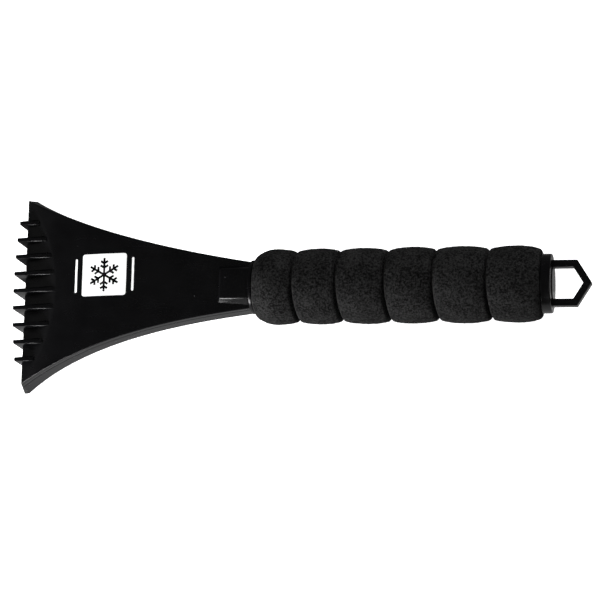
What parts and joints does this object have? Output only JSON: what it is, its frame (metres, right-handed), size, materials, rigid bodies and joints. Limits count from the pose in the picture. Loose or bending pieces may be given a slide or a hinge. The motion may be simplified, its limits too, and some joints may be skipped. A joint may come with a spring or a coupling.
{
  "type": "windshield ice scraper",
  "caption": "Hand-held windshield ice scraper with a flared toothed blade head, a lobed foam grip and a hanging loop.",
  "frame": {"origin": "centre of the bounding box, on the surface that the scraping edge rests on", "axes": "+X from the blade to the hanging loop along the handle, +Z out of the toothed side, Y across the blade"},
  "size_m": [0.281, 0.0962, 0.0373],
  "materials": {
    "head_plastic": "gloss black moulded plastic",
    "tube_plastic": "satin black extruded plastic",
    "grip_foam": "matt black closed-cell foam",
    "cap_plastic": "gloss black moulded plastic"
  },
  "bodies": {
    "root": {"scraper_head": "head_plastic", "handle_tube": "tube_plastic", "foam_grip": "grip_foam", "end_cap": "cap_plastic"}
  },
  "joints": []
}
